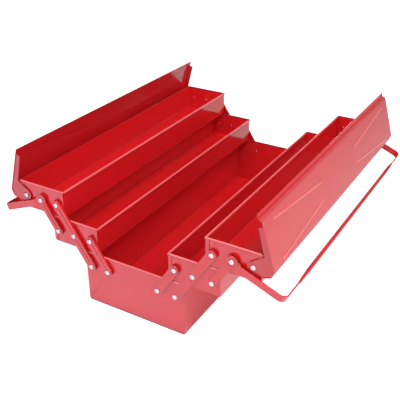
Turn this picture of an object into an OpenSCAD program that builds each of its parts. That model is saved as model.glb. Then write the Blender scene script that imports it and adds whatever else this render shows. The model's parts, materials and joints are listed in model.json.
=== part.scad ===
// Five-tray cantilever tool box in folded sheet steel, standing fully open.
// +X and -X are the ways the trays travel, Y is the long axis, Z is up.
// The origin is the middle of the base floor's underside.

/* [Base box] */
// Width of the base over its rolled rims
base_w = 184; // [176:1:200]
// Height of the base to the top of its rim
base_h = 94.6; // [88:0.2:130]
// Length of the box over its rolled rims
box_l = 520; // [360:5:600]

/* [Trays] */
// Height of each tray to the top of its rim
tray_h = 46.8; // [44:0.2:52]
// Gap left between the two closed rows of trays
centre_gap = 5; // [3:0.5:12]
// Gap between a tray's floor and the rim that it rests over
seat_gap = 0.3; // [0.2:0.1:1]

/* [Sheet metal] */
// Thickness of the box, tray and lid sheet
sheet = 1.0; // [0.8:0.1:1.2]
// How far the rolled rim stands out of the wall
rim_out = 1.2; // [1.1:0.1:1.6]
// Height of the rolled rim
rim_h = 4; // [3:0.5:6]
// Outer radius of the bend along each floor
floor_bend_r = 2.2; // [1.6:0.2:4]
// Width of the tabs folded round the tray corners
tray_tab_w = 6; // [4:0.5:7]
// Width of the tabs folded round the base corners
base_tab_w = 16; // [8:1:24]

/* [Linkage] */
// Distance from the outer pivots of a tray to its long walls
pivot_edge = 12.15; // [11.8:0.05:14]
// Height of the pivots above the tray floor
pivot_h = 22.9; // [20:0.1:25]
// Sideways travel of each tray over the one below
stage_reach = 61.4; // [54:0.2:66]
// Half width of the long and short levers
lever_r = 7.5; // [6.5:0.25:8.5]
// Half width of the crank lever
crank_r = 6.5; // [6.2:0.1:7.5]
// Radius of the crank's eye around the handle pivot
crank_eye_r = 9.5; // [8.5:0.25:10.5]
// Thickness of the pressed lever sheet
lever_sheet = 1.2; // [1:0.1:1.5]
// Depth of the pressed levers over their turned edges
lever_depth = 3.8; // [3:0.2:5]
// Half width of the stiffening rib along a lever
rib_r = 2; // [1.5:0.25:2.5]
// Height of the stiffening rib
rib_t = 0.8; // [0.5:0.1:1.2]

/* [Rivets] */
// Diameter of the rivet shanks
rivet_d = 5; // [4:0.25:5.5]
// Diameter of the domed rivet heads
head_d = 8.6; // [8:0.2:9]
// Height of the domed rivet heads
head_t = 2.2; // [1.8:0.1:2.4]
// Height of the rivets' inner heads
inner_head_t = 1.3; // [0.9:0.1:1.6]
// Diameter of the spacer washers behind the levers
spacer_d = 9.4; // [9:0.2:10]

/* [Lids] */
// Height of the closed lid's top over the rim
lid_rise = 7.3; // [6:0.1:9]
// Gap from the box's middle to the free edge of the closed left lid
lid_edge_gap = 6.9; // [4:0.1:15]
// Gap from the box's middle to the step of the closed right lid
step_edge_gap = 10.9; // [8:0.1:19]
// Width of the stepped tongue on the right lid
tongue_w = 8; // [6:0.5:9]
// Drop of the stepped tongue below the lid's top
tongue_drop = 4.5; // [3:0.5:5]
// Run of the sloped step down to the tongue
step_run = 3; // [2:0.5:4]
// Width of the chamfer along the outer edge, seen from above
chamfer_w = 9.8; // [8:0.2:10]
// Height of the chamfer along the outer edge
chamfer_h = 7.8; // [6.8:0.2:8]
// Angle through which each lid opens
lid_swing = 73.3; // [66:0.1:78]
// Depth of the lid's end plates below its top
end_plate_h = 9.5; // [8.8:0.1:11]
// How far the lid's sheet runs past its end plates
lid_overhang = 1.2; // [0.6:0.1:1.4]
// Distance from the free edge to where the end plates begin
end_plate_setback = 9; // [6:0.5:14]
// Radius of the end plates around their pivot
end_plate_r = 9.3; // [8:0.1:10]
// Width of the pressed stiffening beads
bead_w = 3; // [2:0.5:5]
// Height of the pressed stiffening beads
bead_t = 0.6; // [0.4:0.1:1]
// Distance from the panel's outer edge to the middle of the beads
bead_middle = 34.5; // [33:0.5:38]
// Spread of each pair of beads at the ends of the lid
bead_end_spread = 60; // [40:1:62]
// Spread of each pair of beads beside the bare middle
bead_hub_spread = 27; // [16:1:36]
// Length of the bare middle between the beads
bead_hub_l = 152; // [100:2:200]
// Distance from the beads to the ends of the box
bead_end_margin = 30; // [16:1:40]

/* [Handles] */
// Width of the flat handle strip
strip_w = 11; // [9:0.5:13]
// Thickness of the flat handle strip
strip_t = 2; // [1.6:0.1:2.2]
// Distance from the handle pivot to the inner face of its bar
bar_reach = 86.6; // [84:0.2:96]
// Inner radius of the bends between arms and bar
bar_bend_r = 9; // [6:0.5:14]
// How far the arms hang below level when the box is open
handle_droop = 22; // [16:0.5:26]
// Distance of the arm's centre line below the pivot
strip_drop = 2; // [0:0.25:2.5]
// Distance from the crank's eye to where the arm steps outwards
step_margin = 2.5; // [2:0.25:3.5]
// Length of the stop edge that bears on the crank
stop_reach = 17; // [14:0.5:20]
// Distance from the ends of the folded grip to the ends of the box
grip_margin = 50; // [30:1:100]
// Width of the folded grip
grip_w = 13; // [12:0.25:15]
// Thickness of the folded grip
grip_t = 6; // [4.5:0.25:6.5]
// Thickness of the grip's sheet
grip_sheet = 0.8; // [0.6:0.1:1]
// Length of each tapered grip end
grip_taper_l = 26; // [12:1:40]

/* [Clearances] */
// Radial clearance of every pivot on its rivet
pivot_fit = 0.05; // [0.03:0.01:0.1]
// Radial clearance of a rivet in the wall that it is set in
wall_fit = 0.02; // [0.01:0.01:0.05]
// Axial play beside each plate that turns on a rivet
side_play = 0.05; // [0.03:0.01:0.15]
// Gap between the rolled rim and what turns in front of it
rim_clear = 0.4; // [0.3:0.1:1]
// Gap at the stops of the lids and the handles
stop_gap = 0.1; // [0.05:0.05:0.3]
// Gap between the lid's skirt and the tray's rolled rim
skirt_gap = 0.6; // [0.5:0.1:1.2]
// Gap between the handle strip and the lid rivet's head
strip_clear = 0.35; // [0.3:0.05:0.8]
// Gap between the handle's eye and the crank plate
eye_gap = 0.2; // [0.1:0.05:0.4]
// Gap between the handle's eye and the crank's turned edge
eye_side_gap = 0.3; // [0.3:0.1:0.6]

/* [Hidden] */

round_fn = 48;
bend_steps = 8;
eps = 0.01;
// Keeps a straight edge a little inside the round it runs into
tuck = 0.05;

// Colours of the finish
paint = "crimson";
plating = "silver";
zinc = "lightgray";

// Walls and rims
rim_r = (sheet + rim_out) / 2;
end_y = box_l / 2 - rim_out;
base_wall_x = base_w / 2 - rim_out;
tray_w = (base_w - centre_gap) / 2;
tray_wall_x = tray_w / 2 - rim_out;
pivot_pitch = tray_wall_x - pivot_edge;

// Places of the trays, as [centre x, floor z]
closed_x = base_w / 2 - tray_w / 2;
stage_rise = tray_h + seat_gap;
lower_tray = [closed_x + stage_reach, base_h + seat_gap];
stage_step = [stage_reach / 2, stage_rise];
pitch = [pivot_pitch, 0];
upper_tray = lower_tray + stage_step + pitch;

// Pivots, as [x, z]: a is the inner one of a row, b the middle one, c the outer one
lower_b = lower_tray + [0, pivot_h];
lower_a = lower_b - pitch;
lower_c = lower_b + pitch;
base_b = lower_b - stage_step;
base_a = base_b - pitch;
upper_b = lower_b + stage_step;
upper_c = upper_b + pitch;
lid_pivot = upper_c + pitch;

// Layers, counted outwards from an end wall's outer face
layer_0 = rim_out + rim_clear;
lever_front = layer_0 + lever_depth;
lever_back = lever_front - lever_sheet;
lid_plate_back = layer_0 + side_play * 2;
lid_plate_front = lid_plate_back + sheet;
lid_head_front = lid_plate_front + side_play + head_t;
eye_front = lever_back - eye_gap;
eye_back = eye_front - strip_t;
handle_eye_r = crank_eye_r - lever_sheet - eye_side_gap;
strip_back = lid_head_front + strip_clear;
step_start = crank_eye_r + step_margin;

// Lid shape when closed, counted from the lid pivot
lid_top = tray_h - pivot_h + lid_rise;
closed_pivot_x = lid_pivot[0] - 2 * stage_reach;
skirt_in = pivot_edge + rim_out + skirt_gap;
skirt_out = skirt_in + sheet;
skirt_low = (pivot_edge + stop_gap - skirt_in * cos(lid_swing)) / sin(lid_swing);
panel_edge = skirt_out - chamfer_w;
chamfer_foot = lid_top - chamfer_h;
panel_reach = lid_edge_gap - closed_pivot_x;
step_reach = step_edge_gap - closed_pivot_x;
lid_l = 2 * (end_y + lid_plate_front + lid_overhang);

grip_l = box_l - 2 * grip_margin;

// Crank direction, from its lower pivot to its upper one
crank_dir = atan2(stage_rise, stage_reach / 2);
// How far round the tip the crank's turned edge is left open
window_angle = 42;

// ---- functions ----

function unit(v) = v / norm(v);
function left_normal(v) = [-v[1], v[0]];

// One side of a bent strip: each point moved by t square to its neighbours
function offset_point(p, i, t) =
    let (last = len(p) - 1,
         before = left_normal(unit(p[max(i, 1)] - p[max(i, 1) - 1])),
         after = left_normal(unit(p[min(i, last - 1) + 1] - p[min(i, last - 1)])))
    p[i] + (before + after) * t / (1 + before * after);

// Closed outline of a strip bent along p, with thickness t on its left
function bent_strip(p, t) =
    concat(p, [for (i = [len(p) - 1 : -1 : 0]) offset_point(p, i, t)]);

function arc(centre, r, from, to) =
    [for (i = [0 : bend_steps])
        let (a = from + (to - from) * i / bend_steps)
        centre + r * [cos(a), sin(a)]];

// Where a line from p touches a circle around the origin; side is 1 or -1
function touch_point(p, r, side) =
    let (a = atan2(p[1], p[0]) + side * acos(r / norm(p)))
    r * [cos(a), sin(a)];

function flip_y(p) = [for (i = [len(p) - 1 : -1 : 0]) [p[i][0], -p[i][1]]];

// ---- helpers ----

// A flat shape in X and Z, standing off the near end wall from layer low to layer high
module on_end(low, high) {
    translate([0, -end_y - low, 0])
        rotate([90, 0, 0])
            linear_extrude(high - low)
                children();
}

// Something round on a pivot of the near end wall, drawn along its own Z
module on_pivot(p) {
    translate([p[0], -end_y, p[1]])
        rotate([90, 0, 0])
            children();
}

module far_side() { mirror([0, 1, 0]) children(); }
module left_side() { mirror([1, 0, 0]) children(); }

module both_ends() {
    children();
    far_side() children();
}

// Outline of a box end: square at the top, rounded at the floor
module end_outline(half_w, h, r) {
    translate([-half_w, r]) square([2 * half_w, h - r]);
    translate([r - half_w, 0]) square([2 * (half_w - r), h]);
    for (side = [-1, 1])
        translate([side * (half_w - r), r]) circle(r, $fn = round_fn);
}

// Rolled rim in section: the wall's inner face is at x = 0 and the top at y = 0
module rim_section() {
    translate([0, -rim_h]) square([2 * rim_r, rim_h - rim_r]);
    translate([rim_r, -rim_r]) circle(rim_r, $fn = round_fn);
}

// Floor and long walls with their rolled rims, along Y
module folded_trough(wall_x, h, half_l, rim_half_l) {
    rotate([90, 0, 0])
        translate([0, 0, -half_l])
            linear_extrude(2 * half_l)
                difference() {
                    end_outline(wall_x, h - rim_r, floor_bend_r);
                    translate([0, sheet])
                        end_outline(wall_x - sheet, h, floor_bend_r - sheet);
                }
    for (side = [0, 1])
        mirror([side, 0, 0])
            rotate([90, 0, 0])
                translate([wall_x - sheet, h, -rim_half_l])
                    linear_extrude(2 * rim_half_l)
                        rim_section();
}

// Rolled rim along the top of an end wall
module end_rim(half_w, h) {
    translate([-half_w, sheet - end_y, h])
        rotate([90, 0, 90])
            linear_extrude(2 * half_w)
                mirror([1, 0])
                    rim_section();
}

// ---- base ----

module base_trough() {
    color(paint)
        folded_trough(base_wall_x, base_h, end_y - sheet, end_y - sheet);
}

module base_end() {
    color(paint)
        difference() {
            union() {
                on_end(-sheet, 0) end_outline(base_wall_x, base_h - rim_r, floor_bend_r);
                end_rim(base_wall_x + rim_out, base_h);
                for (side = [0, 1])
                    mirror([side, 0, 0])
                        translate([base_wall_x, -end_y, floor_bend_r])
                            cube([sheet, base_tab_w, base_h - rim_h - floor_bend_r]);
            }
            for (side = [0, 1])
                mirror([side, 0, 0])
                    for (p = [base_a, base_b]) rivet_hole(p);
        }
}

// ---- trays ----

// Trough of a tray, with the tabs that fold round onto its end walls
module tray_trough(place) {
    color(paint)
        translate([place[0], 0, place[1]]) {
            folded_trough(tray_wall_x, tray_h, end_y, end_y + rim_out);
            both_ends()
                for (side = [0, 1])
                    mirror([side, 0, 0])
                        translate([tray_wall_x - tray_tab_w, -end_y - sheet, floor_bend_r])
                            cube([tray_tab_w, sheet, tray_h - rim_h - floor_bend_r]);
        }
}

module tray_end(place, pivots) {
    color(paint)
        difference() {
            translate([place[0], 0, place[1]]) {
                on_end(-sheet, 0)
                    translate([0, sheet])
                        end_outline(tray_wall_x - sheet, tray_h - rim_r - sheet,
                                    floor_bend_r - sheet);
                end_rim(tray_wall_x - sheet, tray_h);
            }
            for (p = pivots) rivet_hole(p);
        }
}

lower_pivots = [lower_a, lower_b, lower_c];
upper_pivots = [upper_b, upper_c, lid_pivot];

module lower_trough() { tray_trough(lower_tray); }
module upper_trough() { tray_trough(upper_tray); }
module lower_end() { tray_end(lower_tray, lower_pivots); }
module upper_end() { tray_end(upper_tray, upper_pivots); }

// ---- rivets and spacers ----

module rivet_hole(p) {
    on_pivot(p)
        translate([0, 0, -2 * sheet])
            cylinder(h = 3 * sheet, r = rivet_d / 2 + wall_fit, $fn = round_fn);
}

// Round dome with a small dimple in its middle, standing on z = 0
module rivet_dome(d, t) {
    dimple_r = d / 10;
    dome_r = (d * d / 4 + t * t) / (2 * t);
    rim_angle = asin(d / 2 / dome_r);
    dimple_angle = asin(dimple_r / dome_r);
    rotate_extrude($fn = round_fn)
        polygon(concat(
            [[0, 0]],
            [for (i = [0 : bend_steps])
                let (a = rim_angle + (dimple_angle - rim_angle) * i / bend_steps)
                [dome_r * sin(a), t - dome_r * (1 - cos(a))]],
            [[0, t - dimple_r]]));
}

// Rivet set in an end wall, whose outer head sits over layer front
module rivet(p, front) {
    on_pivot(p) {
        translate([0, 0, -sheet])
            cylinder(h = sheet + front, r = rivet_d / 2, $fn = round_fn);
        translate([0, 0, front]) rivet_dome(head_d, head_t);
        translate([0, 0, -sheet]) mirror([0, 0, 1]) rivet_dome(head_d, inner_head_t);
    }
}

module spacer(p, top) {
    on_pivot(p)
        difference() {
            cylinder(h = top, d = spacer_d, $fn = round_fn);
            translate([0, 0, -sheet])
                cylinder(h = top + 2 * sheet, r = rivet_d / 2 + wall_fit, $fn = round_fn);
        }
}

lever_head = lever_front + side_play;
lever_seat = lever_back - side_play;
lid_head = lid_plate_front + side_play;
lid_seat = lid_plate_back - side_play;
eye_seat = eye_back - side_play;

module base_rivets() {
    color(plating)
        both_ends()
            for (side = [0, 1])
                mirror([side, 0, 0])
                    for (p = [base_a, base_b]) rivet(p, lever_head);
}

module base_spacers() {
    color(zinc)
        both_ends()
            for (side = [0, 1])
                mirror([side, 0, 0])
                    for (p = [base_a, base_b]) spacer(p, lever_seat);
}

module lower_rivets() {
    color(plating) both_ends() for (p = lower_pivots) rivet(p, lever_head);
}

module lower_spacers() {
    color(zinc) both_ends() for (p = lower_pivots) spacer(p, lever_seat);
}

module upper_rivets() {
    color(plating)
        both_ends() {
            rivet(upper_b, lever_head);
            rivet(upper_c, lever_head);
            rivet(lid_pivot, lid_head);
        }
}

module upper_spacers() {
    color(zinc)
        both_ends() {
            spacer(upper_b, lever_seat);
            spacer(upper_c, eye_seat);
            spacer(lid_pivot, lid_seat);
        }
}

// ---- levers ----

// Round-ended bar from p to q
module bar_outline(p, q, r) {
    along = q - p;
    translate(p)
        rotate(atan2(along[1], along[0]))
            translate([0, -r]) square([norm(along), 2 * r]);
    for (end = [p, q]) translate(end) circle(r, $fn = round_fn);
}

// Raised rib between two pivots, clear of both rivet heads
module lever_rib(p, q) {
    inset = unit(q - p) * (head_d / 2 + 2 * rib_r);
    on_end(lever_front - eps, lever_front + rib_t) bar_outline(p + inset, q - inset, rib_r);
}

module lever_holes(pivots) {
    for (p = pivots)
        on_pivot(p)
            cylinder(h = lever_front + sheet, r = rivet_d / 2 + pivot_fit, $fn = round_fn);
}

// Pressed lever with turned edges, along a straight row of pivots
module lever(pivots) {
    last = len(pivots) - 1;
    color(paint)
        difference() {
            union() {
                difference() {
                    on_end(layer_0, lever_front) bar_outline(pivots[0], pivots[last], lever_r);
                    on_end(layer_0 - sheet, lever_back)
                        bar_outline(pivots[0], pivots[last], lever_r - lever_sheet);
                }
                for (i = [1 : last]) lever_rib(pivots[i - 1], pivots[i]);
            }
            lever_holes(pivots);
        }
}

module crank_outline(inset) {
    bar_outline(lower_c, upper_c, crank_r - inset);
    translate(lower_c) circle(lever_r - inset, $fn = round_fn);
    translate(upper_c) circle(crank_eye_r - inset, $fn = round_fn);
}

// Side of the crank's eye that is left open for the handle to swing through
module crank_window() {
    reach = crank_eye_r + sheet;
    translate(upper_c)
        rotate(crank_dir)
            polygon([[-crank_eye_r, -reach], [reach, -reach],
                     [reach, reach * tan(window_angle)], [0, 0], [-crank_eye_r, 0]]);
}

module crank() {
    color(paint)
        difference() {
            union() {
                difference() {
                    on_end(layer_0, lever_front) crank_outline(0);
                    on_end(layer_0 - sheet, lever_back) crank_outline(lever_sheet);
                    on_end(layer_0 - sheet, lever_back) crank_window();
                }
                lever_rib(lower_c, upper_c);
            }
            lever_holes([lower_c, upper_c]);
        }
}

module long_lever() { lever([base_b, lower_b, upper_b]); }
module short_lever() { lever([base_a, lower_a]); }

// ---- lids ----

// Turns a lid drawn closed around its pivot to where it stands open
module lid_placed() {
    translate([lid_pivot[0], 0, lid_pivot[1]])
        rotate([0, lid_swing, 0])
            children();
}

// Inner line of the lid's sheet, from the free edge to the foot of the skirt
function plain_lid_line() = [
    [panel_reach, lid_top - sheet],
    [panel_edge, lid_top - sheet],
    [skirt_in, chamfer_foot],
    [skirt_in, skirt_low]
];

function stepped_lid_line() = concat([
    [step_reach - step_run - tongue_w, lid_top - sheet - tongue_drop],
    [step_reach - step_run, lid_top - sheet - tongue_drop],
    [step_reach, lid_top - sheet]
], [for (i = [1 : 3]) plain_lid_line()[i]]);

module lid_sheet(line) {
    rotate([90, 0, 0])
        translate([0, 0, -lid_l / 2])
            linear_extrude(lid_l)
                polygon(bent_strip(line, sheet));
}

// End plate, which carries the lid on its pivot
module lid_end_plate(edge_x) {
    plate_low = lid_top - end_plate_h;
    skirt_foot = [skirt_out, skirt_low];
    neck = [-pivot_pitch / 2, plate_low - sheet];
    on_end(lid_plate_back, lid_plate_front) {
        polygon([
            [edge_x + end_plate_setback, lid_top - sheet / 2],
            [panel_edge, lid_top - sheet / 2],
            [skirt_out - sheet / 2, chamfer_foot],
            skirt_foot,
            touch_point(skirt_foot, end_plate_r - tuck, -1),
            [0, 0],
            touch_point(neck, end_plate_r - tuck, 1),
            neck,
            [edge_x + end_plate_setback, plate_low + sheet]
        ]);
        circle(end_plate_r, $fn = round_fn);
    }
}

// Raised bead on the panel, from a to b, as [distance from the panel's outer edge, y]
module lid_bead(a, b) {
    translate([panel_edge, 0, lid_top - eps])
        linear_extrude(bead_t)
            bar_outline([-a[0], a[1]], [-b[0], b[1]], bead_w / 2);
}

// Four beads that aim at the middle of the panel and stop short of it
module lid_beads() {
    for (end = [-1, 1])
        for (edge = [-1, 1])
            lid_bead(
                [bead_middle + edge * bead_end_spread / 2, end * (box_l / 2 - bead_end_margin)],
                [bead_middle + edge * bead_hub_spread / 2, end * bead_hub_l / 2]);
}

module lid(line, edge_x) {
    color(paint)
        lid_placed()
            difference() {
                union() {
                    lid_sheet(line);
                    both_ends() lid_end_plate(edge_x);
                    lid_beads();
                }
                both_ends()
                    on_pivot([0, 0])
                        cylinder(h = lid_plate_front + sheet, r = rivet_d / 2 + pivot_fit,
                                 $fn = round_fn);
            }
}

module right_lid() { lid(stepped_lid_line(), step_reach); }
module left_lid() { lid(plain_lid_line(), panel_reach); }

// ---- handles ----

// Turns a handle drawn level around its pivot to where it rests on its stop
module handle_placed() {
    translate([upper_c[0], 0, upper_c[1]])
        rotate([0, handle_droop, 0])
            children();
}

// Inner line of the handle strip's near half in X and Y
function near_handle_line() = concat([
    [-2 * handle_eye_r, -end_y - eye_back],
    [step_start, -end_y - eye_back],
    [step_start + strip_back - eye_back, -end_y - strip_back]
], arc([bar_reach - bar_bend_r, bar_bend_r - end_y - strip_back], bar_bend_r, -90, 0));

// Side view of an arm: eye, stop lug and strip, in X and Z
module arm_outline() {
    low_edge = -strip_drop - strip_w / 2;
    stop_dir = crank_dir + 180 + handle_droop;
    along = [cos(stop_dir), sin(stop_dir)];
    stop_face = left_normal(along) * (crank_r + stop_gap);
    circle(handle_eye_r, $fn = round_fn);
    translate([0, low_edge]) square([bar_reach + strip_t, strip_w]);
    polygon([
        [0, 0],
        stop_face + along * handle_eye_r / 2,
        stop_face + along * stop_reach,
        [stop_reach + strip_t, low_edge - strip_t],
        [stop_reach + strip_w, low_edge]
    ]);
}

module handle() {
    line = near_handle_line();
    color(paint)
        handle_placed()
            difference() {
                intersection() {
                    translate([0, 0, -box_l / 4])
                        linear_extrude(box_l / 2)
                            polygon(bent_strip(concat(line, flip_y(line)), -strip_t));
                    rotate([90, 0, 0])
                        translate([0, 0, -box_l])
                            linear_extrude(2 * box_l)
                                arm_outline();
                }
                both_ends()
                    on_pivot([0, 0])
                        cylinder(h = lever_front, r = rivet_d / 2 + pivot_fit, $fn = round_fn);
            }
}

// Flat oval section of the grip, or of its hollow
module grip_section(inset) {
    side_r = grip_t / 2;
    square([grip_t - 2 * inset, grip_w - grip_t], center = true);
    for (side = [-1, 1])
        translate([0, side * (grip_w / 2 - side_r)]) circle(side_r - inset, $fn = round_fn);
}

module along_bar(length) {
    rotate([90, 0, 0])
        translate([0, 0, -length / 2])
            linear_extrude(length)
                children();
}

// Sheet folded round the bar, with tapered ends
module grip() {
    half_l = grip_l / 2;
    taper_y = half_l - grip_taper_l;
    end_t = strip_t / 2 + grip_sheet;
    color(paint)
        handle_placed()
            translate([bar_reach + strip_t / 2, 0, -strip_drop])
                difference() {
                    intersection() {
                        along_bar(grip_l) grip_section(0);
                        translate([0, 0, -grip_w])
                            linear_extrude(2 * grip_w)
                                polygon([
                                    [-end_t, -half_l], [end_t, -half_l],
                                    [grip_t / 2, -taper_y], [grip_t / 2, taper_y],
                                    [end_t, half_l], [-end_t, half_l],
                                    [-grip_t / 2, taper_y], [-grip_t / 2, -taper_y]
                                ]);
                    }
                    along_bar(2 * taper_y) grip_section(grip_sheet);
                    along_bar(2 * grip_l) square([strip_t, strip_w], center = true);
                }
}

// ---- parts to draw ----

base_trough();
base_end();  // base_near_end
far_side() base_end();  // base_far_end
base_rivets();
base_spacers();

lower_trough();  // right_lower_trough
lower_end();  // right_lower_near_end
far_side() lower_end();  // right_lower_far_end
lower_rivets();  // right_lower_rivets
lower_spacers();  // right_lower_spacers

upper_trough();  // right_upper_trough
upper_end();  // right_upper_near_end
far_side() upper_end();  // right_upper_far_end
upper_rivets();  // right_upper_rivets
upper_spacers();  // right_upper_spacers

left_side() lower_trough();  // left_lower_trough
left_side() lower_end();  // left_lower_near_end
left_side() far_side() lower_end();  // left_lower_far_end
left_side() lower_rivets();  // left_lower_rivets
left_side() lower_spacers();  // left_lower_spacers

left_side() upper_trough();  // left_upper_trough
left_side() upper_end();  // left_upper_near_end
left_side() far_side() upper_end();  // left_upper_far_end
left_side() upper_rivets();  // left_upper_rivets
left_side() upper_spacers();  // left_upper_spacers

long_lever();  // right_near_long_lever
far_side() long_lever();  // right_far_long_lever
short_lever();  // right_near_short_lever
far_side() short_lever();  // right_far_short_lever
crank();  // right_near_crank
far_side() crank();  // right_far_crank

left_side() long_lever();  // left_near_long_lever
left_side() far_side() long_lever();  // left_far_long_lever
left_side() short_lever();  // left_near_short_lever
left_side() far_side() short_lever();  // left_far_short_lever
left_side() crank();  // left_near_crank
left_side() far_side() crank();  // left_far_crank

right_lid();
left_side() left_lid();
handle();  // right_handle
left_side() handle();  // left_handle
grip();  // right_grip
left_side() grip();  // left_grip
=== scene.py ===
# %% [markdown]
# # A cantilever tool box in red enamel
# The real object is a box of folded sheet steel. Four trays swing out of it on
# pressed levers, a lid is hinged to each upper tray, and a flat strip on each
# side is the handle. The solids come from the imported model, already in metres
# and in place. So the scene adds only what a plain solid lacks: enamel, bright
# rivets, rounded edges, and the soft swelling of a pressed bead. The model's own
# box is measured first, and the dressed object's box at the end, beside it.

# %% Load the frame
import bpy
import bmesh
import json
import math
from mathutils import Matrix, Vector


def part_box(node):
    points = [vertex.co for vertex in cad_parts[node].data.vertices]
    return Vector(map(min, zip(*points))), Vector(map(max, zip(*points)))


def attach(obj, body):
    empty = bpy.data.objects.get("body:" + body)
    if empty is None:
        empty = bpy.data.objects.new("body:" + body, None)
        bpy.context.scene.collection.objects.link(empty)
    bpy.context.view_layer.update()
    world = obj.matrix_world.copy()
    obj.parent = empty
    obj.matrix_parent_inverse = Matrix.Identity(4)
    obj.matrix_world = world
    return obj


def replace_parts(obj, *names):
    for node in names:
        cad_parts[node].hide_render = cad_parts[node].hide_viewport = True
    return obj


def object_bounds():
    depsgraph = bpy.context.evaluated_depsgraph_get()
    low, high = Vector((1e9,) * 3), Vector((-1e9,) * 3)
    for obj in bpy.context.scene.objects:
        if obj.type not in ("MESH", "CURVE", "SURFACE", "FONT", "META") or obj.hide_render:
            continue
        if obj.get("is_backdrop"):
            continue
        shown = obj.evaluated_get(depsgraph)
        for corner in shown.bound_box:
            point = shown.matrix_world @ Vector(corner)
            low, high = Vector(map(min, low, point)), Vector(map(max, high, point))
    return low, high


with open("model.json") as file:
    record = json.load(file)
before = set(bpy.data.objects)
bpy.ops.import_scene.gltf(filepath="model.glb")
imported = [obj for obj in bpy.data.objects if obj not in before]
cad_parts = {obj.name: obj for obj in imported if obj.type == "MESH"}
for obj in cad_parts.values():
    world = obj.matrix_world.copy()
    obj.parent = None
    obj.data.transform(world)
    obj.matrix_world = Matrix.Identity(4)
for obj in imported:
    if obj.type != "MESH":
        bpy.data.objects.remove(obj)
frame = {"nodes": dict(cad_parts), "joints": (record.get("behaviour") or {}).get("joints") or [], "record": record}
cad_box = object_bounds()
nodes = frame["nodes"]
scene = bpy.context.scene
scene.view_settings.view_transform = "Standard"

# %% [markdown]
# ## The camera
# The box is seen from its near end, from the right and from well above. A
# constraint could aim the camera at a target, but three plain angles say the
# same without a second object: how far round, how far up, and a trace of roll.
# A long lens more than a metre away keeps the long edges almost parallel.

# %% Camera
AZIMUTH = math.radians(30.45)
ELEVATION = math.radians(28.81)
ROLL = math.radians(0.02)
CAMERA_PLACE = (0.5171, -0.9371, 0.6763)
LENS_MM = 60.48
SENSOR_MM = 36.0

lens = bpy.data.cameras.new("camera")
lens.lens = LENS_MM
lens.sensor_width = SENSOR_MM
camera = bpy.data.objects.new("camera", lens)
camera.location = CAMERA_PLACE
camera.rotation_mode = "XYZ"
camera.rotation_euler = (math.pi / 2 - ELEVATION, ROLL, AZIMUTH)
scene.collection.objects.link(camera)
scene.camera = camera
print("camera at", CAMERA_PLACE)

# %% [markdown]
# ## Shader maths as Python
# A node tree is easier to read as an expression than as a list of links. This
# small class wraps one socket, and its operators add Math nodes, also with a
# number on the left, so that `1 - mask` works. Every other node comes from
# `add_node`, which takes the node's type, its settings, which output is wanted,
# and the values or links of its inputs.

# %% A socket that can be added and multiplied
class Sock:
    def __init__(self, tree, socket):
        self.tree = tree
        self.socket = socket

    def math(self, operation, *others):
        return math_node(self.tree, operation, self, *others)

    def __add__(self, other):
        return self.math("ADD", other)

    def __radd__(self, other):
        return self.math("ADD", other)

    def __sub__(self, other):
        return self.math("SUBTRACT", other)

    def __rsub__(self, other):
        return math_node(self.tree, "SUBTRACT", other, self)

    def __mul__(self, other):
        return self.math("MULTIPLY", other)

    def __rmul__(self, other):
        return self.math("MULTIPLY", other)

    def __truediv__(self, other):
        return self.math("DIVIDE", other)

    def clamp(self):
        return add_node(self.tree, "ShaderNodeClamp", Value=self)


# %% One way to add any node
def feed(tree, node, inputs):
    """A digit names an input by its number, and _ stands for a space."""
    for name, value in inputs.items():
        target = node.inputs[int(name) if name.isdigit() else name.replace("_", " ")]
        if isinstance(value, Sock):
            tree.links.new(value.socket, target)
        else:
            target.default_value = value


def add_node(tree, kind, settings=None, out=0, **inputs):
    made = tree.nodes.new(kind)
    for key, value in (settings or {}).items():
        setattr(made, key, value)
    feed(tree, made, inputs)
    return Sock(tree, made.outputs[out])


def math_node(tree, operation, *values):
    inputs = {str(i): value for i, value in enumerate(values)}
    return add_node(tree, "ShaderNodeMath", {"operation": operation}, **inputs)


# %% Small helpers for materials
def axes_of(tree):
    """The three Object coordinates, which stay with the piece when it moves."""
    where = add_node(tree, "ShaderNodeTexCoord", out="Object")
    return [add_node(tree, "ShaderNodeSeparateXYZ", out=i, Vector=where) for i in range(3)]


def ramp_of(value, start_end, low_high):
    """A soft step: low before start, high after end."""
    return add_node(value.tree, "ShaderNodeMapRange", {"interpolation_type": "SMOOTHSTEP"},
                    Value=value, From_Min=start_end[0], From_Max=start_end[1],
                    To_Min=low_high[0], To_Max=low_high[1])


def mix_colour(tree, factor, a, b):
    """A Mix node set to colour reads its inputs 6 and 7 and writes output 2."""
    a, b = (c if isinstance(c, Sock) else (*c, 1.0) for c in (a, b))
    return add_node(tree, "ShaderNodeMix", {"data_type": "RGBA"}, 2,
                    **{"0": factor, "6": a, "7": b})


def new_material(name):
    material = bpy.data.materials.new(name)
    material.use_nodes = True
    tree = material.node_tree
    tree.nodes.clear()
    surface = tree.nodes.new("ShaderNodeBsdfPrincipled")
    end = tree.nodes.new("ShaderNodeOutputMaterial")
    tree.links.new(surface.outputs[0], end.inputs["Surface"])
    return material, tree, surface


# %% [markdown]
# ## The studio
# Glossy paint looks like what it mirrors, so the studio is half of the finish. A
# picture of a real studio could light the scene, but it would need a file, and
# two plain surfaces are enough. The camera sees both as plain white: a Light Path
# node tells the camera's own rays from those that leave the paint. The paint
# mirrors less than white: a grey horizon under a dark ceiling, and a sheet of
# pale paper that is dimmer near the far side and between the trays. So the
# upright walls, which mirror the paper, turn pale, and the floors of the trays,
# which mirror the ceiling, stay a deep red.

# %% World
HORIZON = 0.5
CEILING = 0.08
HORIZON_TOP = 0.15
WHITE = (1.0, 1.0, 1.0)


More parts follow.
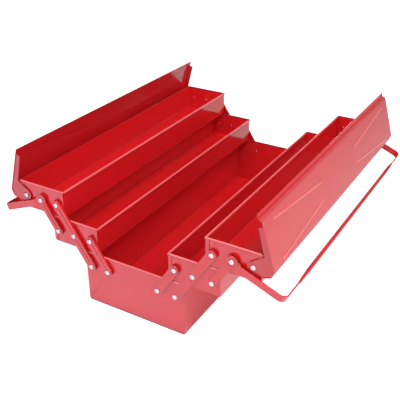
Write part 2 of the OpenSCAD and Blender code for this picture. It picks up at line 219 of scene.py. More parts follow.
def make_world():
    world = bpy.data.worlds.new("studio")
    scene.world = world
    world.use_nodes = True
    tree = world.node_tree
    tree.nodes.clear()
    direction = add_node(tree, "ShaderNodeTexCoord", out="Generated")
    height = add_node(tree, "ShaderNodeSeparateXYZ", out=2, Vector=direction)
    shade = ramp_of(height, (0.0, HORIZON_TOP), (HORIZON, CEILING))
    seen = add_node(tree, "ShaderNodeLightPath", out="Is Camera Ray")
    background = add_node(tree, "ShaderNodeBackground", Color=(*WHITE, 1.0),
                          Strength=shade + seen * (1.0 - shade))
    end = tree.nodes.new("ShaderNodeOutputWorld")
    tree.links.new(background.socket, end.inputs["Surface"])
    print("world:", HORIZON, "at the horizon,", CEILING, "above")


make_world()


# %% The light that the floor paper gives
FLOOR_SEEN = 0.85
FLOOR_MIRRORED = (0.40, 0.05)
MIRROR_FADE = (-0.3, 0.22)
FLOOR_TINT = (1.05, 0.90, 1.28)
UNDER_TRAYS = 0.6
TRAY_SIDES = (0.2, 0.3)
TRAY_FRONTS = (-0.265, -0.235)


def paper_glow(tree):
    """White for the camera, dimmer and faintly lilac in the paint, none as lamp light."""
    camera_ray = add_node(tree, "ShaderNodeLightPath", out="Is Camera Ray")
    glossy_ray = add_node(tree, "ShaderNodeLightPath", out="Is Glossy Ray")
    across, along, _ = axes_of(tree)
    # The glow that the paint mirrors fades towards the far side, a painted falloff of light, and dims under the
    # trays, a painted shadow of them.
    mirrored = ramp_of(along, MIRROR_FADE, FLOOR_MIRRORED)
    between = ramp_of(across.math("ABSOLUTE"), TRAY_SIDES, (1.0, 0.0))
    behind = ramp_of(along, TRAY_FRONTS, (0.0, 1.0))
    mirrored = mirrored * (1.0 - between * behind * UNDER_TRAYS)
    tint = mix_colour(tree, camera_ray, FLOOR_TINT, WHITE)
    return add_node(tree, "ShaderNodeVectorMath", {"operation": "SCALE"}, Vector=tint,
                    Scale=camera_ray * FLOOR_SEEN + glossy_ray * mirrored)


# %% Floor
FLOOR_COLOUR = (0.66, 0.66, 0.66)
FLOOR_HALF = 4.0


def make_floor():
    mesh = bpy.data.meshes.new("floor")
    h = FLOOR_HALF
    mesh.from_pydata([(-h, -h, 0), (h, -h, 0), (h, h, 0), (-h, h, 0)], [], [(0, 1, 2, 3)])
    floor = bpy.data.objects.new("floor", mesh)
    scene.collection.objects.link(floor)
    material, tree, surface = new_material("floor_paper")
    feed(tree, surface, {"Base_Color": (*FLOOR_COLOUR, 1.0), "Roughness": 0.9,
                         "Specular_IOR_Level": 0.0, "Emission_Color": paper_glow(tree),
                         "Emission_Strength": 1.0})
    mesh.materials.append(material)
    floor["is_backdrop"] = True
    print("floor:", 2 * h, "m square")


make_floor()

# %% [markdown]
# ## Lamps
# Each lamp is a large rectangle, because a large lamp casts a soft shadow. Point
# lamps would draw every lever as a hard black line on the wall behind it. The key
# lamp stands high on the right and lights the floors of the trays. The front and
# corner lamps light the near ends. Of the two side lamps, the low one shines in
# under the trays that hang out over the base. Two low lamps at the back keep the
# far side from going dark, and the high one there is weak, because the trays
# mirror it.

# %% Lamps
LAMPS = (  # name, place, aim, size, watts
    ("key", (0.8, -0.3, 1.8), (0, 0, 0.1), (1.0, 1.4), 33.0),
    ("front", (-0.3, -2.0, 1.3), (0, 0, 0.1), (1.6, 1.2), 27.0),
    ("side", (2.0, -0.3, 1.3), (0, 0, 0.1), (1.4, 1.0), 5.5),
    ("low side", (2.2, 0.2, 0.14), (0, 0, 0.1), (1.2, 0.2), 16.0),
    ("low corner", (1.4, -1.9, 0.45), (0, 0, 0.1), (1.0, 0.6), 7.0),
    ("back", (0.0, 2.05, 1.6), (0, 0, 0.2), (1.0, 0.8), 1.3),
    ("rear fill", (-1.9, 1.3, 0.55), (0, 0, 0.1), (1.2, 0.8), 10.0),
    ("low rear", (-0.5, 2.4, 0.3), (0, 0, 0.1), (1.2, 0.4), 8.0),
)


def soft_lamp(name, place, aim, size, watts):
    light = bpy.data.lights.new(name, "AREA")
    light.shape = "RECTANGLE"
    light.size, light.size_y = size
    light.energy = watts
    lamp = bpy.data.objects.new(name, light)
    lamp.location = place
    lamp.rotation_euler = (Vector(aim) - Vector(place)).to_track_quat("-Z", "Y").to_euler()
    scene.collection.objects.link(lamp)


for row in LAMPS:
    soft_lamp(*row)
print("lamps:", len(LAMPS), "with", sum(row[-1] for row in LAMPS), "W together")

# %% [markdown]
# ## Red enamel
# Baked enamel is a coloured coat under a clear skin. A diffuse and a glossy
# shader mixed by a Fresnel node could make it, but a Principled surface has both:
# a saturated base, and a coat that mirrors the studio. Two noises break it up as
# real paint does: a very fine ripple in the skin, which painters call orange
# peel, and a slow drift of the colour. They read Object coordinates, so that
# they stay on the piece when it moves.

# %% Red enamel
ENAMEL_REDS = ((0.68, 0.012, 0.017), (0.63, 0.010, 0.014))
DRIFT_SCALE = 9.0
PEEL_SCALE = 420.0
PEEL_DEPTH = 0.0004
PEEL_STRENGTH = 0.05
DENT_DEPTH = 0.0005
GLOSS = 0.14
GLOSS_DRIFT = 0.06
COAT_INDEX = 1.5
COAT_ROUGHNESS = 0.05


def make_enamel(name, reds=ENAMEL_REDS, rim=None, dent=None, lower=None):
    """rim, dent and lower are for the sheets that carry such marks, further down. rim and lower paint light and
    shade into the colour.
    """
    material, tree, surface = new_material(name)
    where = add_node(tree, "ShaderNodeTexCoord", out="Object")
    drift = add_node(tree, "ShaderNodeTexNoise", Vector=where, Scale=DRIFT_SCALE,
                     Detail=3.0)
    peel = add_node(tree, "ShaderNodeTexNoise", Vector=where, Scale=PEEL_SCALE, Detail=2.0)
    ripple = add_node(tree, "ShaderNodeBump", Height=peel, Strength=PEEL_STRENGTH,
                      Distance=PEEL_DEPTH)
    if dent is not None:
        ripple = add_node(tree, "ShaderNodeBump", {"invert": True}, Height=dent(tree),
                          Strength=1.0, Distance=DENT_DEPTH, Normal=ripple)
    colour = mix_colour(tree, drift, *reds)
    # lower turns the colour to other reds below the given heights: a painted light.
    if lower is not None:
        heights, low_reds = lower
        colour = mix_colour(tree, ramp_of(axes_of(tree)[2], heights, (1.0, 0.0)), colour,
                            mix_colour(tree, drift, *low_reds))
    # rim paints a highlight on the rim and hairlines of painted shade.
    if rim is not None:
        colour = rim_colour(tree, colour, *rim)
    feed(tree, surface, {
        "Base_Color": colour, "Roughness": GLOSS + drift * GLOSS_DRIFT,
        "Normal": ripple, "Coat_Weight": 1.0, "Coat_Roughness": COAT_ROUGHNESS,
        "Coat_IOR": COAT_INDEX, "Specular_IOR_Level": 0.5})
    return material


# Edges and their rounds take a deeper red: a painted shade along every edge.
EDGE_SHADE_REDS = ((0.50, 0.009, 0.014), (0.46, 0.008, 0.013))
enamel = make_enamel("red_enamel")
enamel_edge = make_enamel("red_enamel_edge", EDGE_SHADE_REDS)
print("enamel:", enamel.name, "and", enamel_edge.name)

# %% [markdown]
# ## Lines along the sheets
# Each long wall ends in a rolled rim, and so tight a round catches the light. The
# material paints it as a pale line, a painted highlight. A wall's foot, the top of a
# far end and the line under the rim of an end wall lie in shade, and get a dark
# hairline of painted shade instead. These lines could be strips of their own, but
# there is no step in the steel to carry them. So the material paints them by
# height, with soft steps, and the foot and the line under the rim only on the faces
# that look outwards.

# %% Colours and places of the lines
RIM_HIGHLIGHT_RED = (0.92, 0.16, 0.175)
ENAMEL_SHADE = (0.28, 0.006, 0.010)
RIM_BAND = 0.0036
END_RIM_BAND = 0.0016
RIM_BLEND = 0.0009
# Bands of painted shade: along the top of a far end, under the rim of an end wall, and at the foot of the outer
# faces.
DARK_BAND = 0.0026
DARK_BLEND = DARK_BAND * 0.3
UNDER_RIM_DROP = 0.004
UNDER_RIM_HALF = 0.0008
UNDER_RIM_DEPTH = 0.9
FOOT_BAND = 0.0036
FOOT_BLEND = 0.0016
FOOT_DEPTH = 0.95
END_WALL = 0.2572
END_FACE = 0.2583
SIDE_FACE = 0.0905


# %% The lines as one colour
def beyond(axis, distance):
    return axis.math("ABSOLUTE").math("GREATER_THAN", distance)


def rim_colour(tree, colour, top, outermost):
    """top is the rim's height; past outermost, on either side, the rim gets no painted highlight."""
    x, y, z = axes_of(tree)
    on_far_end = y.math("GREATER_THAN", END_WALL)
    # A pale band under the top of each long wall: a painted highlight on the rolled rim.
    start = top - RIM_BAND + beyond(y, END_WALL) * (RIM_BAND - END_RIM_BAND)
    rim_highlight = ramp_of(z, (start, start + RIM_BLEND), (0.0, 1.0))
    rim_highlight = rim_highlight * (1.0 - on_far_end.math("MAXIMUM", beyond(x, outermost)))
    # Hairlines of painted shade: the top of each far end, the line under the rim of the end walls, and the foot of
    # the outer faces.
    far_top = ramp_of(z, (top - DARK_BAND, top - DARK_BAND + DARK_BLEND), (0.0, 1.0))
    off_under_rim = (z - (top - UNDER_RIM_DROP)).math("ABSOLUTE")
    under_rim_shade = ramp_of(off_under_rim, (0.0, UNDER_RIM_HALF), (UNDER_RIM_DEPTH, 0.0)) * beyond(y, END_FACE)
    outer_face = beyond(y, END_FACE).math("MAXIMUM", beyond(x, SIDE_FACE))
    foot = ramp_of(z, (FOOT_BAND - FOOT_BLEND, FOOT_BAND), (FOOT_DEPTH, 0.0)) * outer_face
    dark = (far_top * on_far_end).math("MAXIMUM", foot).math("MAXIMUM", under_rim_shade)
    return mix_colour(tree, rim_highlight, mix_colour(tree, dark, colour, ENAMEL_SHADE), RIM_HIGHLIGHT_RED)


# %% Enamel with lines, for the base and both rows of trays
RIM_ROUND = 0.003
NO_LIMIT = 1.0


def outer_side(node):
    low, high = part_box(node)
    return max(abs(low[0]), abs(high[0]))


rimmed = {}
for part, trough in (("base", "base_trough"), ("lower", "right_lower_trough"),
                     ("upper", "right_upper_trough")):
    pale_to = outer_side(trough) - RIM_ROUND if part == "upper" else NO_LIMIT
    rim = (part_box(trough)[1][2], pale_to)
    rimmed[part] = (make_enamel("red_enamel_" + part, rim=rim),
                    make_enamel("red_enamel_edge_" + part, EDGE_SHADE_REDS, rim=rim))
    print("rim of", part, "at", round(rim[0], 4), "m")

# %% [markdown]
# ## Bright metal
# The rivets are nickel plated and lightly brushed by years of use. Shade falls in
# the dimple and round the foot of each head, and the material paints it as a darker
# colour: a painted shade. It could be painted by height, but the heads lie at many
# heights and face both ways. So the tree that makes a head stores a number on its
# mesh, and the material reads it.

# %% Nickel
NICKEL = (0.86, 0.85, 0.84)
HEAD_SHADE_COLOUR = (0.22, 0.13, 0.15)
GRAIN_SCALE = 900.0
BRUSHED = 0.2
BRUSHED_GRAIN = 0.16


def make_nickel():
    material, tree, surface = new_material("nickel")
    where = add_node(tree, "ShaderNodeTexCoord", out="Object")
    grain = add_node(tree, "ShaderNodeTexNoise", Vector=where, Scale=GRAIN_SCALE,
                     Detail=2.0)
    # The darker colour where the rivet tree stored painted shade on the head.
    head_shade = add_node(tree, "ShaderNodeAttribute", {"attribute_name": "head_shade"}, "Fac")
    feed(tree, surface, {"Base_Color": mix_colour(tree, head_shade, NICKEL, HEAD_SHADE_COLOUR),
                         "Metallic": 1.0, "Roughness": BRUSHED + grain * BRUSHED_GRAIN})
    return material


nickel = make_nickel()
print("metal:", nickel.name)

# %% [markdown]
# ## Clean copies of the solids
# Every wall, lever and lid is cut or folded from a millimetre or so of steel.
# The sheets could be drawn anew here, but two sets of sizes soon drift apart.
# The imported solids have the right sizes, but they are loose triangles, which no
# modifier can round. So each solid is copied, its doubles are merged, and its
# flat triangles are dissolved into whole faces. The solid itself stays as it is,
# hidden in the frame, and its copy stands for it.

# %% Merged copies
MERGE_GAP = 1e-6
FLAT_ANGLE = math.radians(0.5)


def merged_mesh(node, name, reshape=None):
    work = bmesh.new()
    work.from_mesh(nodes[node].data)
    bmesh.ops.remove_doubles(work, verts=work.verts, dist=MERGE_GAP)
    if reshape is not None:
        reshape(work)
    bmesh.ops.dissolve_limit(work, angle_limit=FLAT_ANGLE, verts=work.verts,
                             edges=work.edges)
    mesh = bpy.data.meshes.new(name)
    work.to_mesh(mesh)
    work.free()
    return mesh


# %% Which body carries which solid
carried_by = {}
for body, carried in frame["record"]["behaviour"]["bodies"].items():
    for node in carried:
        carried_by[node] = body
print("solids on bodies:", len(carried_by))


# %% A piece that stands for a solid
def add_piece(name, mesh, node):
    piece = bpy.data.objects.new(name, mesh)
    scene.collection.objects.link(piece)
    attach(piece, carried_by[node])
    return piece


# %% [markdown]
# ## The lids
# Both lids stand open and lean inwards, so nothing on them lies along an axis of
# the scene. A child object turned with the lid could carry the detail, but a
# finished piece has to lie at the origin. So places on a lid are given as on a
# closed one, across, along and up from its hinge, and turned by the hinge's own
# angle. The solid's sharp beads are pressed flat, because softer ones take their
# place, and the inside shows the back of each bead as a shallow dent.

# %% Places on an open lid
joints = {joint["name"]: joint for joint in frame["joints"]}


def on_open_lid(side, across, along, up):
    """side is 1 for the right lid and -1 for the left one."""
    hinge = joints[("right" if side > 0 else "left") + "_lid_hinge"]
    turn = math.radians(hinge["range_deg"][1])
    x = across * math.cos(turn) + up * math.sin(turn)
    z = up * math.cos(turn) - across * math.sin(turn)
    return Vector((hinge["pos_m"][0] + side * x, along, hinge["pos_m"][2] + z))


def lid_axes(side):
    pivot = on_open_lid(side, 0, 0, 0)
    return pivot, on_open_lid(side, 1, 0, 0) - pivot, on_open_lid(side, 0, 0, 1) - pivot


for side in (1, -1):
    print("lid hinge at", [round(c, 4) for c in lid_axes(side)[0]])

# %% Beads pressed flat, and faces that take their own enamel
LID_TOP = 0.0312
LID_PANEL_EDGE = 0.004
INSIDE, FOOT, STEP = 2, 3, 4
FACES_INWARD = 0.5
FACES_STEP = -0.7


def press_beads_flat(side):
    pivot, _, outward = lid_axes(side)

    def reshape(work):
        for vert in work.verts:
            over = (vert.co - pivot).dot(outward) - LID_TOP
            if over > 0:
                vert.co -= over * outward
    return reshape


def mark_lid_faces(side):
    pivot, across, outward = lid_axes(side)

    def mark(mesh):
        for face in mesh.polygons:
            at = (face.center - pivot).dot(across)
            inward = -face.normal.dot(outward + across)
            if face.material_index == 0 and inward > FACES_INWARD:
                face.material_index = FOOT if at > LID_PANEL_EDGE else INSIDE
            if face.material_index == 0 and face.normal.dot(across) < FACES_STEP:
                face.material_index = STEP
    return mark


# %% Dents behind the beads
BEAD_ENDS = ((-0.05935, 0.230), (0.00065, 0.230))
BEAD_HUBS = ((-0.04285, 0.076), (-0.01585, 0.076))
BEAD_WIDTH = 0.005


def bead_dent(side):
    """A dent that is deepest on each bead's line, which runs from its end to its hub."""
    pivot, to_across, _ = lid_axes(side)

    def dent(tree):
        x, y, z = axes_of(tree)
        across = (x - pivot.x) * to_across.x + (z - pivot.z) * to_across.z
        along = y.math("ABSOLUTE")
        depths = []
        for tip, hub in zip(BEAD_ENDS, BEAD_HUBS):
            run = Vector((hub[0] - tip[0], hub[1] - tip[1]))
            u, v = across - tip[0], along - tip[1]
            t = ((u * run.x + v * run.y) / run.length_squared).clamp()
            off = (u - t * run.x) * (u - t * run.x) + (v - t * run.y) * (v - t * run.y)
            depths.append(ramp_of(off.math("SQRT"), (0.0, BEAD_WIDTH / 2), (1.0, 0.0)))
        return depths[0].math("MAXIMUM", depths[1])
    return dent


# %% Enamel of the lids
# The lids take copies of the enamel with light and shade painted in. The outside, the inside and the edges are
# darker reds, a painted shade. The inside turns lighter towards its foot, and the foot faces are lighter too: a
# painted light. The step is a paler, pinker red, a painted reflection.
OUTER_SHADED_REDS = ((0.54, 0.010, 0.015), (0.50, 0.009, 0.013))
LID_SHADED_REDS = ((0.56, 0.010, 0.015), (0.52, 0.009, 0.013))
FOOT_LIT_REDS = ((0.84, 0.017, 0.024), (0.80, 0.015, 0.021))
STEP_SHEEN_REDS = ((0.51, 0.055, 0.062), (0.48, 0.052, 0.059))
LID_EDGE_SHADE_REDS = ((0.42, 0.008, 0.013), (0.40, 0.008, 0.012))
FOOT_HEIGHTS = (0.190, 0.214)

lid_enamels = {}
for side, name in ((1, "right"), (-1, "left")):
    inside = make_enamel(name + "_lid_inside", LID_SHADED_REDS, dent=bead_dent(side),
                         lower=(FOOT_HEIGHTS, FOOT_LIT_REDS))
    lid_enamels[side] = (make_enamel(name + "_lid_outside", OUTER_SHADED_REDS),
                         make_enamel(name + "_lid_edge", LID_EDGE_SHADE_REDS), inside,
                         make_enamel(name + "_lid_foot", FOOT_LIT_REDS),
                         make_enamel(name + "_lid_step", STEP_SHEEN_REDS))
    print(name, "lid:", len(lid_enamels[side]), "enamels")

# %% [markdown]
# ## Sheet steel with soft edges
# No edge of the real sheets is razor sharp: the shears and the paint round it by
# a few tenths of a millimetre, and that slight round catches the light. A round
# could be drawn by a bump in the shader, but it would leave the outline hard. So
# a Bevel modifier rounds each convex edge that turns by more than 40 degrees. The
# round and the cut edges are painted a deeper red, a painted shade that draws a
# dark line along each edge. Inner corners catch no light, so they stay sharp.
# Weighted normals then keep the large faces flat, so that they mirror the studio
# without waves.

# %% Marks for the bevel
CUT_WIDTH = 0.0011
EDGE_ANGLE = math.radians(40)


def mark_cut_edges(mesh):
    """A face narrower than CUT_WIDTH is the cut edge of a sheet."""
    for face in mesh.polygons:
        around = sum((mesh.vertices[a].co - mesh.vertices[b].co).length
                     for a, b in face.edge_keys)
        if 2 * face.area / around < CUT_WIDTH:
            face.material_index = 1


def mark_folds(mesh):
    work = bmesh.new()
    work.from_mesh(mesh)
    weight = work.edges.layers.float.new("bevel_weight_edge")
    for edge in work.edges:
        if len(edge.link_faces) == 2 and edge.calc_face_angle(0.0) > EDGE_ANGLE:
            if edge.is_convex:
                edge[weight] = 1.0
            else:
                edge.smooth = False
    work.to_mesh(mesh)
    work.free()


# %% Soften one sheet
EDGE_ROUND = 0.0003
ROUND_STEPS = 2
LARGE_FACES_WIN = 100


def round_edges(piece):
    bevel = piece.modifiers.new("edge round", "BEVEL")
    bevel.width = EDGE_ROUND
    bevel.segments = ROUND_STEPS
    bevel.limit_method = "WEIGHT"
    bevel.use_clamp_overlap = False
    # The round takes the second material, the painted shade of the edges.
    bevel.material = 1
    flats = piece.modifiers.new("flat faces stay flat", "WEIGHTED_NORMAL")
    flats.mode = "FACE_AREA"
    flats.weight = LARGE_FACES_WIN
    flats.keep_sharp = True


def soften(node, materials, reshape=None, mark=None):
    """The first material is for the faces, the second for edges and rounds."""
    mesh = merged_mesh(node, node + "_enamelled", reshape)
    for material in materials:
        mesh.materials.append(material)
    piece = add_piece(node + "_enamelled", mesh, node)
    mark_cut_edges(mesh)
    if mark is not None:
        mark(mesh)
    mesh.shade_smooth()
    mark_folds(mesh)
    round_edges(piece)
    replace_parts(piece, node)


# %% Soften every sheet, lever and handle
SHEET_ENDS = ("trough", "end", "lever", "crank", "lid", "handle", "grip")


def soften_by_kind(node):
    parts = [part for part in rimmed if part in node and not node.endswith("lever")]
    if parts:
        soften(node, rimmed[parts[0]])
    elif node.endswith("lid"):
        side = 1 if node.startswith("right") else -1
        soften(node, lid_enamels[side], press_beads_flat(side), mark_lid_faces(side))
    else:
        soften(node, (enamel, enamel_edge))


sheets = sorted(node for node in nodes if node.endswith(SHEET_ENDS))
for node in sheets:
    soften_by_kind(node)
print("softened pieces:", len(sheets))

# %% [markdown]
# ## Rivets
# The levers turn on rivets. Each has a bright domed head with a small dimple, a
# shank, and a painted tail on the inside of the wall. Each could be modelled by
# hand where it stands, but they are all alike. So Geometry Nodes make one rivet
# and set it on a point for each place, and the point carries what differs: which
# way is outwards, and how far head and tail lie apart. A dome is a ball whose
# lower half is pressed flat, which keeps it closed. Its sizes are inputs of the
# tree, and a seed decides how far each head is turned about its own axis.

# %% Helpers for Geometry Nodes
def new_tree(name, sockets):
    tree = bpy.data.node_groups.new(name, "GeometryNodeTree")
    tree.interface.new_socket("Geometry", in_out="INPUT", socket_type="NodeSocketGeometry")
    for label, kind in sockets.items():
        tree.interface.new_socket(label, in_out="INPUT", socket_type="NodeSocket" + kind)
    tree.interface.new_socket("Geometry", in_out="OUTPUT", socket_type="NodeSocketGeometry")
    start = tree.nodes.new("NodeGroupInput")
    return tree, {s.name: Sock(tree, s) for s in start.outputs if s.name}


def end_tree(tree, result):
    end = tree.nodes.new("NodeGroupOutput")
    tree.links.new(result.socket, end.inputs["Geometry"])
    print(tree.name, "tree:", len(tree.nodes), "nodes")


def vector_of(tree, x, y, z):
    return add_node(tree, "ShaderNodeCombineXYZ", X=x, Y=y, Z=z)


def attribute_of(tree, name, kind):
    return add_node(tree, "GeometryNodeInputNamedAttribute", {"data_type": kind},
                    "Attribute", Name=name)


def stored(tree, geometry, name, value, kind, domain):
    return add_node(tree, "GeometryNodeStoreNamedAttribute",
                    {"data_type": kind, "domain": domain},
                    Geometry=geometry, Name=name, Value=value)


def joined(tree, pieces):
    join = tree.nodes.new("GeometryNodeJoinGeometry")
    for piece in reversed(pieces):
        tree.links.new(piece.socket, join.inputs[0])
    return Sock(tree, join.outputs[0])


def set_on(tree, points, shape, turn, scale=(1.0, 1.0, 1.0)):
    return add_node(tree, "GeometryNodeInstanceOnPoints", Points=points, Instance=shape,
                    Rotation=turn, Scale=scale)


# %% A dome: a ball with its lower half pressed flat
DOME_SEGMENTS = 24
DOME_RINGS = 20
ON_MIDDLE = 1e-4


def dome(tree, radius, height, stretch=None):
    """stretch pulls the two halves apart along X by that much each way."""
    ball = add_node(tree, "GeometryNodeMeshUVSphere", Segments=DOME_SEGMENTS,
                    Rings=DOME_RINGS, Radius=1.0)
    place = add_node(tree, "GeometryNodeInputPosition")
    x, y, z = (add_node(tree, "ShaderNodeSeparateXYZ", out=i, Vector=place)
               for i in range(3))
    along = x * radius
    if stretch is not None:
        off_middle = x.math("ABSOLUTE").math("GREATER_THAN", ON_MIDDLE)
        along = along + x.math("SIGN") * stretch * off_middle
    rise = z.math("MAXIMUM", 0.0) * height
    return ball, (x, y, z), (along, y * radius, rise)


def shaped(tree, ball, place):
    moved = add_node(tree, "GeometryNodeSetPosition", Geometry=ball,
                     Position=vector_of(tree, *place))
    return add_node(tree, "GeometryNodeSetShadeSmooth", Geometry=moved)


# %% The head of a rivet, with its dimple and its painted shade
HEAD_SHADE_RING = (0.74, 0.98)
HEAD_SHADE_DIMPLE = (0.35, 0.8)
HEAD_SHADE_IN_DIMPLE = 0.7


def rivet_head(tree, sizes):
    radius, dimple = sizes["Head Radius"], sizes["Dimple Radius"]
    ball, (x, y, z), (along, across, rise) = dome(tree, radius, sizes["Head Height"])
    out = (x * x + y * y).math("SQRT") * radius
    # Painted shade: darker towards the edge of the head and in the dimple.
    ring = ramp_of(out / radius, HEAD_SHADE_RING, (0.0, 1.0))
    pit = ramp_of(out / dimple, HEAD_SHADE_DIMPLE, (HEAD_SHADE_IN_DIMPLE, 0.0))
    ball = stored(tree, ball, "head_shade", ring.math("MAXIMUM", pit), "FLOAT", "POINT")
    dip = ramp_of(out, (0.0, dimple), (sizes["Dimple Depth"], 0.0))
    rise = rise - dip * z.math("GREATER_THAN", 0.0)
    return shaped(tree, ball, (along, across, rise))


# %% The shank and the painted tail
def rivet_shank(tree, sizes):
    """A rod one metre long that starts at its point, so that its reach scales it."""
    rod = add_node(tree, "GeometryNodeMeshCylinder", {"fill_type": "NGON"},
                   Vertices=DOME_SEGMENTS, Radius=sizes["Shank Radius"], Depth=1.0)
    return add_node(tree, "GeometryNodeTransform", Geometry=rod,
                    Translation=(0.0, 0.0, 0.5))


def rivet_tail(tree, sizes):
    ball, _, place = dome(tree, sizes["Tail Radius"], sizes["Tail Height"])
    tail = add_node(tree, "GeometryNodeTransform", Geometry=shaped(tree, ball, place),
                    Rotation=(math.pi, 0.0, 0.0))
    return stored(tree, tail, "painted", True, "BOOLEAN", "FACE")


# %% The rivet tree
def make_rivet_tree():
    tree, inputs = new_tree("rivets", {
        "Head Radius": "Float", "Head Height": "Float", "Dimple Radius": "Float",
        "Dimple Depth": "Float", "Shank Radius": "Float", "Tail Radius": "Float",
        "Tail Height": "Float", "Seed": "Int", "Metal": "Material", "Paint": "Material"})
    points = inputs["Geometry"]
    outward = attribute_of(tree, "outward", "FLOAT_VECTOR")
    reach = attribute_of(tree, "reach", "FLOAT")
    facing = add_node(tree, "FunctionNodeAlignRotationToVector", {"axis": "Z"},
                      Vector=outward)
    spin = add_node(tree, "FunctionNodeRandomValue", {"data_type": "FLOAT"}, 1,
                    **{"2": 0.0, "3": math.tau, "Seed": inputs["Seed"]})
    turned = add_node(tree, "FunctionNodeRotateRotation", {"rotation_space": "LOCAL"},
                      Rotation=facing, Rotate_By=vector_of(tree, 0.0, 0.0, spin))
    over = add_node(tree, "ShaderNodeVectorMath", {"operation": "SCALE"},
                    Vector=outward, Scale=reach)
    lifted = add_node(tree, "GeometryNodeSetPosition", Geometry=points, Offset=over)
    heads = set_on(tree, lifted, rivet_head(tree, inputs), turned)
    shanks = set_on(tree, points, rivet_shank(tree, inputs), facing,
                    vector_of(tree, 1.0, 1.0, reach))
    tails = set_on(tree, points, rivet_tail(tree, inputs), facing)
    solid = add_node(tree, "GeometryNodeRealizeInstances",
                     Geometry=joined(tree, [heads, shanks, tails]))
    metal = add_node(tree, "GeometryNodeSetMaterial", Geometry=solid,
                     Material=inputs["Metal"])
    end_tree(tree, add_node(tree, "GeometryNodeSetMaterial", Geometry=metal,
                            Selection=attribute_of(tree, "painted", "BOOLEAN"),
                            Material=inputs["Paint"]))
    return tree


rivet_tree = make_rivet_tree()

# %% [markdown]
# ## Where the rivets are
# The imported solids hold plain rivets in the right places. They could be typed in
# again as a list, but it would go stale when the box changes size. So each solid
# is split into its loose islands, and the box round each island tells where the
# rivet stands and how thick the stack of steel in it is.

# %% Islands of a solid
def islands_of(mesh):
    work = bmesh.new()
    work.from_mesh(mesh)
    left = set(work.verts)
    while left:
        stack = [left.pop()]
        island = list(stack)
        while stack:
            for edge in stack.pop().link_edges:
                for vert in edge.verts:
                    if vert in left:
                        left.remove(vert)
                        stack.append(vert)
                        island.append(vert)
        yield [vert.co.copy() for vert in island]
    work.free()


# %% Rivets measured from their solids
HEAD_HEIGHT = 0.0022
TAIL_HEIGHT = 0.0013


def rivet_points(node):
    """Rows of place, outward direction and reach, from the inner wall outwards."""
    rows = []
    for island in islands_of(merged_mesh(node, "measured")):
        low = Vector([min(co[i] for co in island) for i in range(3)])
        high = Vector([max(co[i] for co in island) for i in range(3)])
        middle = (low + high) / 2
        side = 1.0 if middle.y > 0 else -1.0
        wall = min(abs(low.y), abs(high.y)) + TAIL_HEIGHT
        front = max(abs(low.y), abs(high.y)) - HEAD_HEIGHT
        rows.append(((middle.x, side * wall, middle.z), (0.0, side, 0.0), front - wall))
    return sorted(rows)


# %% Points that carry attributes, and what grows on them
def points_object(places, **attributes):
    mesh = bpy.data.meshes.new("points")
    mesh.from_pydata(places, [], [])
    for label, values in attributes.items():
        is_vector = hasattr(values[0], "__len__")
        kind, field = ("FLOAT_VECTOR", "vector") if is_vector else ("FLOAT", "value")
        flat = [n for v in values for n in v] if is_vector else values
        mesh.attributes.new(label, kind, "POINT").data.foreach_set(field, flat)
    made = bpy.data.objects.new("points", mesh)
    scene.collection.objects.link(made)
    return made


def grow(source, tree, name, **inputs):
    """Runs the tree on the points and keeps the result as a plain mesh."""
    modifier = source.modifiers.new("grow", "NODES")
    modifier.node_group = tree
    sockets = {i.name: i.identifier for i in tree.interface.items_tree
               if i.in_out == "INPUT"}
    for label, value in inputs.items():
        modifier[sockets[label.replace("_", " ")]] = value
    grown = source.evaluated_get(bpy.context.evaluated_depsgraph_get())
    mesh = bpy.data.meshes.new_from_object(grown)
    mesh.name = name
    source.modifiers.clear()
    bpy.data.objects.remove(source)
    return mesh


# %% Rivets of every body
RIVET_SIZES = {"Head_Radius": 0.0043, "Head_Height": HEAD_HEIGHT, "Dimple_Radius": 0.0016,
               "Dimple_Depth": 0.0011, "Shank_Radius": 0.0025, "Tail_Radius": 0.0034,
               "Tail_Height": TAIL_HEIGHT, "Seed": 7}

for node in sorted(n for n in nodes if n.endswith("rivets")):
    places, outward, reach = zip(*rivet_points(node))
    source = points_object(places, outward=outward, reach=reach)
    mesh = grow(source, rivet_tree, node + "_bright", Metal=nickel, Paint=enamel,
                **RIVET_SIZES)
    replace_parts(add_piece(node + "_bright", mesh, node), node)
    print(node, len(places), "rivets,", len(mesh.polygons), "faces")

# %% [markdown]
# ## Beads of the lids
# Four long beads are pressed into each lid and aim at its middle, to keep the
# sheet from drumming. A press leaves a soft swelling, not a bar, so each bead is
# the same dome again, pulled apart along its length. It lies where the solid's
# own bead was pressed flat, and sinks into the lid by a hair so that no gap
# shows round it.

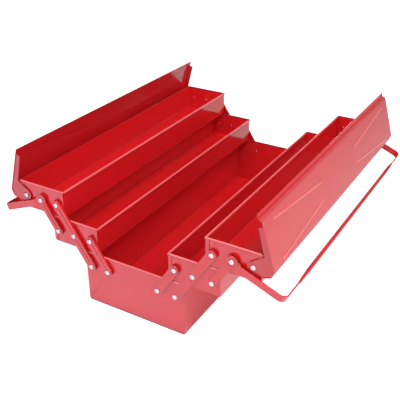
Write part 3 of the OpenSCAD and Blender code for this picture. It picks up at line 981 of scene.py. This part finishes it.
# %% The bead tree
def make_bead_tree():
    tree, inputs = new_tree("beads", {"Length": "Float", "Width": "Float",
                                      "Height": "Float", "Paint": "Material"})
    turn = add_node(tree, "FunctionNodeAxesToRotation",
                    {"primary_axis": "Z", "secondary_axis": "X"},
                    Primary_Axis=attribute_of(tree, "outward", "FLOAT_VECTOR"),
                    Secondary_Axis=attribute_of(tree, "along", "FLOAT_VECTOR"))
    half = inputs["Width"] / 2.0
    ball, _, place = dome(tree, half, inputs["Height"], inputs["Length"] / 2.0 - half)
    beads = set_on(tree, inputs["Geometry"], shaped(tree, ball, place), turn)
    solid = add_node(tree, "GeometryNodeRealizeInstances", Geometry=beads)
    end_tree(tree, add_node(tree, "GeometryNodeSetMaterial", Geometry=solid,
                            Material=inputs["Paint"]))
    return tree


bead_tree = make_bead_tree()

# %% Beads of both lids
BEAD_HEIGHT = 0.0008
BEAD_SINK = 0.00005
# The beads take a paler, pinker red: a painted highlight for the light their rounds catch.
BEAD_SHEEN_REDS = ((0.66, 0.08, 0.085), (0.64, 0.075, 0.08))
bead_enamel = make_enamel("red_enamel_bead", BEAD_SHEEN_REDS)


def make_beads(side, lid):
    outward = lid_axes(side)[2]
    places, along = [], []
    for end in (-1, 1):
        for tip, hub in zip(BEAD_ENDS, BEAD_HUBS):
            a = on_open_lid(side, tip[0], end * tip[1], LID_TOP - BEAD_SINK)
            b = on_open_lid(side, hub[0], end * hub[1], LID_TOP - BEAD_SINK)
            places.append(tuple((a + b) / 2))
            along.append(tuple((b - a).normalized()))
    length = (b - a).length + BEAD_WIDTH
    source = points_object(places, along=along, outward=[tuple(outward)] * len(places))
    mesh = grow(source, bead_tree, lid + "_beads", Length=length, Width=BEAD_WIDTH,
                Height=BEAD_HEIGHT + BEAD_SINK, Paint=bead_enamel)
    add_piece(lid + "_beads", mesh, lid)
    print(lid, "beads:", len(mesh.polygons), "faces,", round(length, 4), "m long")


make_beads(1, "right_lid")
make_beads(-1, "left_lid")

# %% [markdown]
# ## Spacers
# A plain ring on each rivet keeps lever and wall apart. It could be copied and
# rounded as the sheets are, but it hides in their shade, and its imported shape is
# right. So it keeps that shape and only takes the red enamel, on the material
# slots of its own object.

# %% Enamel on the slots of the solids
for solid in nodes.values():
    for place in solid.material_slots:
        place.material = enamel
print("enamelled slots:", sum(len(solid.material_slots) for solid in nodes.values()))

# %% [markdown]
# ## The size at the end
# A real box doesn't grow when it is painted. The sizes could be compared by eye,
# but a tenth of a millimetre is soon missed. So the box round the dressed object
# is measured, kept beside the model's own, and printed.

# %% Sizes of the model and of the dressed object
dressed_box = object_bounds()
sizes = {"cad": [list(c) for c in cad_box], "dressed": [list(c) for c in dressed_box]}
print("dressed box:", [[round(n, 4) for n in corner] for corner in sizes["dressed"]])
